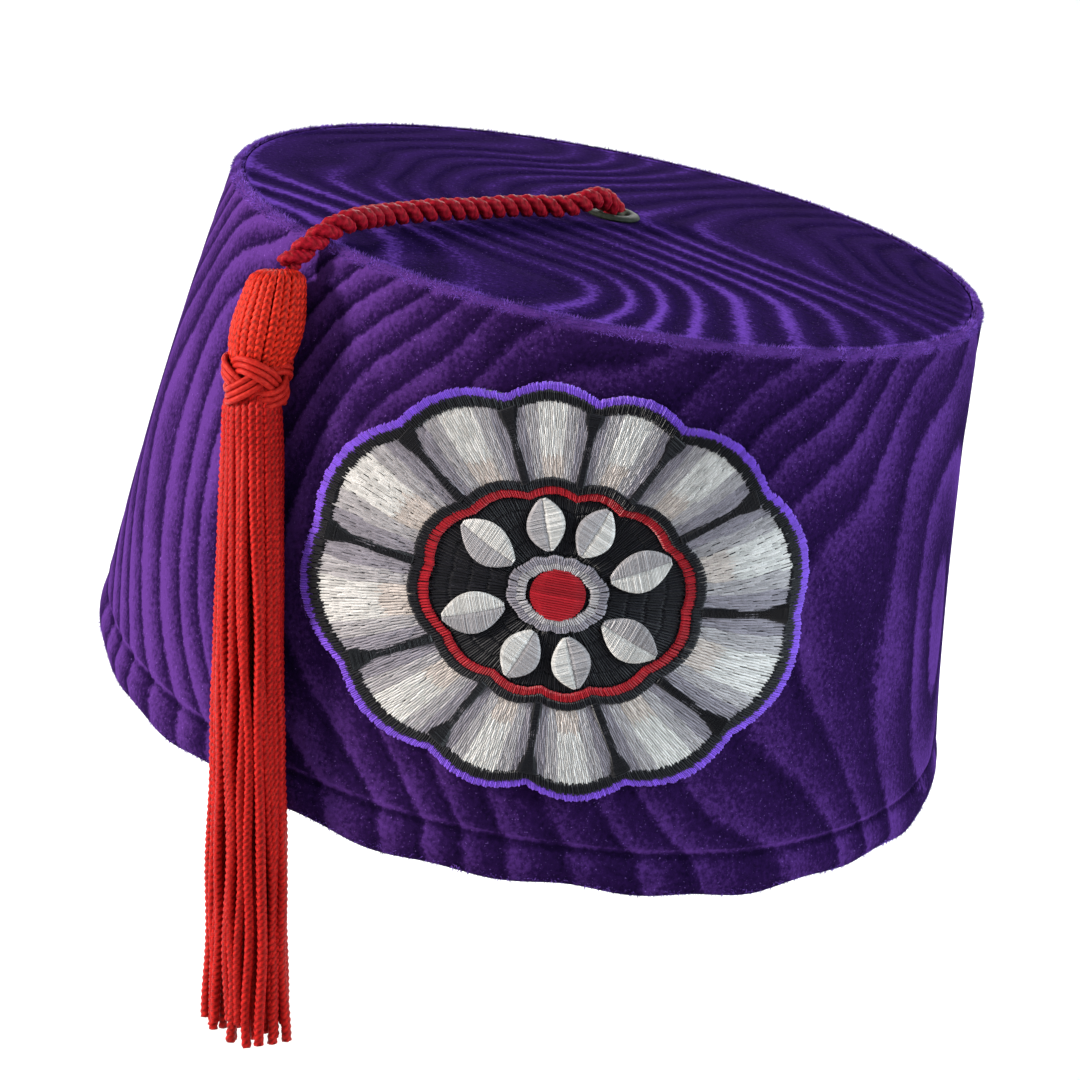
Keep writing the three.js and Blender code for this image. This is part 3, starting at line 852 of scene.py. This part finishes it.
velvet_top, across_share, up_share = grid_sheet("velvet_top", 420, 170)
turns = 2 * np.pi * across_share
over = up_share < 0.9
share = np.where(over, np.clip(up_share / 0.88, 0, 1), np.clip((1 - up_share) / 0.1, 0, 1))
hole_share = disc_hole / top_half_width
share = hole_share + (1 - hole_share) * share
wide = (top_half_width + disc_edge) * share
long = (top_half_length + disc_edge) * share
round_hole = 1 - soft_step(share, hole_share, 0.16)
long = long * (1 - round_hole) + wide * round_hole
x = wide * np.sin(turns)
y = -long * np.cos(turns)
ribs = top_ribs(x, y)
top_height = crown_height + dome_rise * (1 - share ** 2) + disc_nap_height * soft_step(share, 0.985, 1.0)
relief = top_rib_relief * (rib_shape(ribs) - 0.7)
relief *= soft_step(share, hole_share + 0.02, hole_share + 0.08)
relief *= 1 - soft_step(share, 0.97, 1.0)
under_height = crown_height + dome_rise * (1 - share ** 2) - disc_cloth
z = np.where(over, top_height + relief, under_height)
# Strength of the top's painted rib light: uneven, and weaker towards the back and the right, away from
# the key light.
nap_light = 0.72 + 0.28 * np.sin(x * 63 + 1.2 * np.sin(y * 48) + 0.6)
nap_light *= 1 - 0.50 * soft_step(y, -0.055, 0.03)
nap_light *= 1 - 0.32 * soft_step(x, 0.0, 0.05)
keep_on_points(velvet_top, "ribs", ribs - rib_phase)
keep_on_points(velvet_top, "contrast", np.where(over, nap_light, 0.0))
# Painted light on the top: a little all over, and a bright line at its edge by the seam.
keep_on_points(velvet_top, "painted_light", (0.08 + 0.37 * soft_step(share, 0.975, 1.0)) * over)
# Brightness across a top rib, for its painted light and shade.
top_rib = [(0.0, 0.02), (0.20, 0.05), (0.42, 0.85), (0.52, 1.0), (0.72, 0.42), (1.0, 0.04)]
shape_sheet(velvet_top, leaned(np.stack([x, y, z], -1)))
# The top's tones are a lighter copy of the side's velvet: painted light where the top faces the light.
top_dark = (0.0050, 0.0020, 0.018)
top_mid = (0.0148, 0.0048, 0.050)
top_lit = (0.095, 0.034, 0.270)
velvet_top.data.materials.append(
    velvet_material("velvet_top_purple", top_dark, top_mid, top_lit, 0.45, top_rib, 0.026)
)
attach(velvet_top, "root")
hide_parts("top_disc")

# The eyelet is a ring of dull gunmetal in the middle of the top. Its tube goes down through the
# velvet, is rolled over at the top and is pressed onto a washer below.
eyelet_bore = 0.0032
eyelet_flange = 0.0055
eyelet_top = crown_height + dome_rise + 0.0003
eyelet_foot = crown_height + dome_rise - disc_cloth - 0.0011
eyelet_profile = [
    (eyelet_bore, eyelet_foot),
    (eyelet_flange, eyelet_foot),
    (eyelet_flange, eyelet_foot + 0.0007),
    (0.0038, eyelet_foot + 0.0008),
    (0.0038, eyelet_top),
    (0.0054, eyelet_top - 0.0001),
    (0.0056, eyelet_top + 0.0002),
    (0.0053, eyelet_top + 0.0006),
    (0.0045, eyelet_top + 0.0009),
    (0.0037, eyelet_top + 0.0008),
    (0.0033, eyelet_top + 0.0004),
    (eyelet_bore, eyelet_top - 0.0004),
    (eyelet_bore, eyelet_foot),
]
eyelet, across_share, up_share = grid_sheet("eyelet_ring", 96, len(eyelet_profile) - 1)
corners = np.array(eyelet_profile)
corner_share = np.linspace(0, 1, len(corners))
radius = np.interp(up_share, corner_share, corners[:, 0])
height = np.interp(up_share, corner_share, corners[:, 1])
turns = 2 * np.pi * across_share
shape_sheet(eyelet, leaned(np.stack([radius * np.sin(turns), -radius * np.cos(turns), height], -1)))
bpy.ops.object.shade_smooth_by_angle(angle=math.radians(50))
material, nodes, links, shader = new_material("gunmetal", 0.38)
shader.inputs["Metallic"].default_value = 0.1
shader.inputs["Specular IOR Level"].default_value = 0.12
wear = add_noise(nodes, links, 900, 4)
metal_tones = add_ramp(nodes, links, wear, [(0.35, (0.009, 0.011, 0.008)), (0.7, (0.022, 0.026, 0.020))])
rough = add_node(nodes, "MapRange", {"To Min": 0.50, "To Max": 0.68})
links.new(wear, rough.inputs["Value"])
links.new(metal_tones, shader.inputs["Base Color"])
links.new(rough.outputs["Result"], shader.inputs["Roughness"])
eyelet.data.materials.append(material)
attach(eyelet, "root")
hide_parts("eyelet")

# The stop knot is the rope's hidden end, the same knitted red cord wound round itself. It sits
# under the eyelet, where it can't pull through, and a short stem joins it to the rope.
stop_knot_middle = eyelet_foot - 0.0043
stem_radius = 0.0022
stem_steps = 30
wound_radius = 0.0031
wound_cord_radius = 0.0014
wound_relief = 0.16
wound_turns = 4
winding = np.linspace(0, 1, 260)
wound_turn = 2 * np.pi * wound_turns * winding
wound_tilt = np.pi * (0.08 + 0.84 * winding)
stop_knot_line = np.stack([
    wound_radius * np.sin(wound_tilt) * np.cos(wound_turn),
    wound_radius * np.sin(wound_tilt) * np.sin(wound_turn),
    stop_knot_middle + wound_radius * np.cos(wound_tilt),
], -1)
knot_facing = unit(stop_knot_line - np.array([0, 0, stop_knot_middle]))
stem_height = np.linspace(stop_knot_middle, eyelet_top - 0.0006, stem_steps)
stem_line = np.stack([np.zeros(stem_steps), np.zeros(stem_steps), stem_height], -1)
stem_facing = np.tile([1.0, 0.0, 0.0], (stem_steps, 1))
stop_knot_cords = []
for line, facing, radius in (
    (stop_knot_line, knot_facing, wound_cord_radius),
    (stem_line, stem_facing, stem_radius),
):
    cord = knitted_tube(leaned(line), leaned(facing), radius, radius, 12, ply_stitch, wound_relief)
    stop_knot_cords.append(cord)
stop_knot = joined_piece("wound_stop_knot", stop_knot_cords)
stop_knot.data.materials.append(rope.data.materials[0])
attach(stop_knot, "root")
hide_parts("stop_knot")

# The emblem is dense machine embroidery on a dark cloth ground, sewn to the front of the side: a
# scalloped oval of silver petals round a black field, edged with a purple satin border. Every
# stitch is a separate run of thread.
emblem_seat = 0.0004
ground_thickness = 0.0009
ground_inset = 0.0004
stitch_width = 0.00046
stitch_height = 0.00028
stitch_random = np.random.default_rng(21)
thread_colours = {
    "purple": (0.170, 0.065, 0.520),
    "black": (0.0045, 0.0045, 0.0075),
    "white": (0.520, 0.510, 0.500),
    "silver": (0.330, 0.315, 0.330),
    "grey": (0.215, 0.200, 0.235),
    "cream": (0.460, 0.410, 0.385),
    "red": (0.300, 0.006, 0.014),
}


def emblem_place(across, up, out):
    """A place on the emblem, bent round the crown's side."""
    turn = emblem_turn + across / rim_half_width
    return wall_place(turn, emblem_height + up, out + emblem_seat)


ground, across_share, up_share = grid_sheet("emblem_ground", 288, 40)
direction = 2 * np.pi * across_share
front = up_share > 0.5
share = 1 - np.abs(up_share - 0.5) * 2
share = np.clip(share * 1.02, 0, 1)
reach = (emblem_reach(direction) - ground_inset) * share
rounding = ground_thickness * np.sqrt(np.clip(1 - share ** 12, 0, 1))
out = np.where(front, rounding, 0)
places = emblem_place(reach * np.cos(direction), reach * np.sin(direction), out)
shape_sheet(ground, leaned(places))
material, nodes, links, shader = new_material("emblem_ground_cloth", 0.9, 0.2, (0.5, 0.5, 0.6))
weave = add_node(nodes, "TexVoronoi", {"Scale": 1900})
links.new(nodes.new("ShaderNodeTexCoord").outputs["Object"], weave.inputs["Vector"])
ground_stops = [(0.0, (0.030, 0.028, 0.040)), (1.0, (0.010, 0.010, 0.014))]
links.new(add_ramp(nodes, links, weave.outputs["Distance"], ground_stops), shader.inputs["Base Color"])
add_bump(nodes, links, shader, weave.outputs["Distance"], 1.0, 0.0002)
ground.data.materials.append(material)
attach(ground, "root")
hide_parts("emblem")

stitch_runs = []


def add_stitches(starts, ends, colour, lift):
    """Adds straight stitches between points of the flat plan, with their colour and height."""
    count = len(starts)
    tint = thread_colours[colour] if isinstance(colour, str) else colour
    tint = np.broadcast_to(tint, (count, 3)) * stitch_random.uniform(0.74, 1.14, (count, 1))
    lifts = np.broadcast_to(lift, (count,)) + stitch_random.uniform(0, 0.00012, count)
    stitch_runs.append((starts, ends, tint, lifts))


def on_oval(direction, share):
    """Points of the plan at a share of the emblem's reach."""
    reach = emblem_reach(direction) * share
    return np.stack([reach * np.cos(direction), reach * np.sin(direction)], -1)


def petal_tone(direction, share):
    """Thread colours over a petal: white down its middle, grey at its sides, cream at its foot."""
    side = np.abs(np.sin(direction * emblem_scallops / 2))
    zone = np.where(side > 0.86, 0, np.where(side > 0.55, 1, 2))
    middle_thread = "cream" if share < 0.66 else "white"
    return np.array([thread_colours[name] for name in (middle_thread, "silver", "grey")])[zone]


def radial_band(low, high, colour, lift, ragged, spacing=0.00043):
    """A band of stitches that point outwards, between two shares of the reach."""
    radius = (emblem_half_width + emblem_half_height) / 2 * (low + high) / 2
    count = int(2 * np.pi * radius / spacing)
    direction = 2 * np.pi * (np.arange(count) + stitch_random.uniform(-0.2, 0.2, count)) / count
    starts = on_oval(direction, low - ragged * stitch_random.uniform(0, 1, count))
    ends = on_oval(direction + 0.004, high + ragged * stitch_random.uniform(0, 1, count))
    add_stitches(starts, ends, petal_tone(direction, low) if colour == "petal" else colour, lift)


petal_row = 0.040
for share in np.arange(0.55, 0.91, petal_row):
    puff = 0.0012 + 0.0006 * math.sin(math.pi * (share - 0.5) / 0.45)
    radial_band(share, share + petal_row, "petal", puff, 0.030)
spoke_stitches = 66
for petal in range(emblem_scallops):
    direction = 2 * math.pi * petal / emblem_scallops
    shares = np.linspace(0.56, 0.93, spoke_stitches)
    middle = on_oval(direction, shares)
    half = 0.0008 + 0.0010 * soft_step(shares, 0.80, 0.93)
    square = np.array([-math.sin(direction), math.cos(direction)])
    add_stitches(middle - square * half[:, None], middle + square * half[:, None], "black", 0.0019)
radial_band(0.915, 0.962, "black", 0.0017, 0.009)
radial_band(0.956, 0.994, "purple", 0.0015, 0.010, 0.00036)
radial_band(0.515, 0.556, "black", 0.0018, 0.003)
radial_band(0.478, 0.518, "red", 0.0016, 0.003)
field_row = 0.071
for share in np.arange(0.05, 0.47, field_row):
    radial_band(share, share + field_row, "black", 0.0010, 0.006)
leaf_count = 8
leaf_stitches = 44
for leaf in range(leaf_count):
    direction = 2 * math.pi * (leaf + 0.5) / leaf_count
    shares = np.linspace(0.215, 0.455, leaf_stitches)
    middle = on_oval(direction, shares)
    half = 0.0034 * np.sin(np.pi * np.linspace(0.03, 0.97, leaf_stitches)) ** 0.8 + 0.0002
    square = np.array([-math.sin(direction), math.cos(direction)])
    lift = 0.0015 + 0.0004 * np.sin(np.pi * np.linspace(0, 1, leaf_stitches))
    add_stitches(middle - square * half[:, None], middle, "white", lift)
    add_stitches(middle, middle + square * half[:, None], "silver", lift)
for share, colour in ((0.120, "silver"), (0.150, "grey")):
    radial_band(share, share + 0.034, colour, 0.0018, 0.004)
middle_radius = 0.0045
for row in np.arange(-0.0042, 0.0043, 0.00042):
    half = math.sqrt(max(middle_radius ** 2 - row ** 2, 0)) * 1.15
    add_stitches(np.array([[-half, row]]), np.array([[half, row]]), "red", 0.0019)

starts, ends, tints, lifts = (np.concatenate(parts) for parts in zip(*stitch_runs))
ahead = ends - starts
long = np.linalg.norm(ahead, axis=1, keepdims=True)
ahead = ahead / np.maximum(long, 1e-6)
square = np.stack([-ahead[:, 1], ahead[:, 0]], -1)
stations = ((0.0, 0.2), (0.18, 1.0), (0.82, 1.0), (1.0, 0.2))
corners = ((-0.5, 0.0), (0.5, 0.0), (0.0, 1.0))
points = []
for along, rise in stations:
    for side, top in corners:
        plan = starts + ahead * long * along + square * (stitch_width * side)
        out = np.maximum(lifts - stitch_height + stitch_height * (rise + top * 1.1), 0.0003)
        points.append(emblem_place(plan[:, 0], plan[:, 1], out))
points = np.stack(points, 1)
count = len(points)
stitch_points_each = len(stations) * len(corners)
offsets = (np.arange(count) * stitch_points_each)[:, None, None]
quads = (tube_faces(len(stations), len(corners))[0] + offsets).reshape(-1, 4)
caps = (np.array([(2, 1, 0), (9, 10, 11)]) + offsets).reshape(-1, 3)
stitch_points = leaned(points.reshape(-1, 3))
stitch_light = np.ones(len(stitch_points))
stitches = joined_piece("emblem_stitches", [(stitch_points, (quads, caps), stitch_light)])
bpy.ops.object.shade_flat()
thread_tint = stitches.data.attributes.new("thread", "FLOAT_COLOR", "POINT")
colours = np.concatenate([np.repeat(tints, stitch_points_each, axis=0), stitch_light[:, None]], 1)
thread_tint.data.foreach_set("color", colours.astype(np.float32).ravel())
material, nodes, links, shader = new_material("emblem_threads", 0.45, 0.04)
shader.inputs["Specular IOR Level"].default_value = 0.34
tint = nodes.new("ShaderNodeAttribute")
tint.attribute_name = "thread"
twisted = add_noise(nodes, links, 3800)
dim = add_node(nodes, "MapRange", {"To Min": 0.7, "To Max": 1.15})
links.new(twisted, dim.inputs["Value"])
shade = scaled_colour(nodes, links, tint.outputs["Color"], dim.outputs["Result"])
links.new(shade, shader.inputs["Base Color"])
add_bump(nodes, links, shader, twisted, 0.4, 0.0001)
stitches.data.materials.append(material)
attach(stitches, "root")
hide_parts("emblem")

# The stage is a pale floor that curves up behind the hat and runs on below it. Soft studio light
# comes from the left, with a weaker cool one from the right.
floor_height = -0.075
floor_front = 2.6
stage_size = 6.0
bend_start = 3.4
bend_radius = 0.8
stage, across_share, up_share = grid_sheet("stage", 4, 60)
run = up_share * stage_size
bend = np.clip((run - bend_start) / bend_radius, 0, np.pi / 2)
past = np.maximum(run - bend_start - bend_radius * np.pi / 2, 0)
depth = np.minimum(run, bend_start) + bend_radius * np.sin(bend) - floor_front
height = floor_height + bend_radius * (1 - np.cos(bend)) + past
places = np.stack([(across_share - 0.5) * stage_size, depth, height], -1)
stage.data.vertices.foreach_set("co", places.astype(np.float32).ravel())
bpy.ops.object.shade_smooth()
material, nodes, links, shader = new_material("pale_paper", 0.85)
shader.inputs["Base Color"].default_value = (0.86, 0.86, 0.865, 1)
stage.data.materials.append(material)

lights = [
    ("key", (-1.30, -0.42, 0.62), 0.24, 46, (1.0, 0.94, 0.87)),
    ("fill", (1.15, -0.45, 0.45), 0.9, 25, (0.80, 0.93, 1.0)),
    ("back", (0.25, 0.85, 0.85), 0.7, 9, (1.0, 1.0, 1.0)),
]
for name, place, size, power, tint in lights:
    bpy.ops.object.light_add(type="AREA", location=place)
    lamp = bpy.context.object
    lamp.name = name
    lamp.data.size = size
    lamp.data.energy = power
    lamp.data.color = tint
    towards = Vector((0, 0, 0.04)) - Vector(place)
    lamp.rotation_euler = towards.to_track_quat("-Z", "Y").to_euler()
world = bpy.data.worlds.new("studio")
world.use_nodes = True
world.node_tree.nodes["Background"].inputs["Color"].default_value = (0.95, 0.97, 1.0, 1)
world.node_tree.nodes["Background"].inputs["Strength"].default_value = 0.33
bpy.context.scene.world = world
bpy.context.scene.view_settings.view_transform = "Standard"
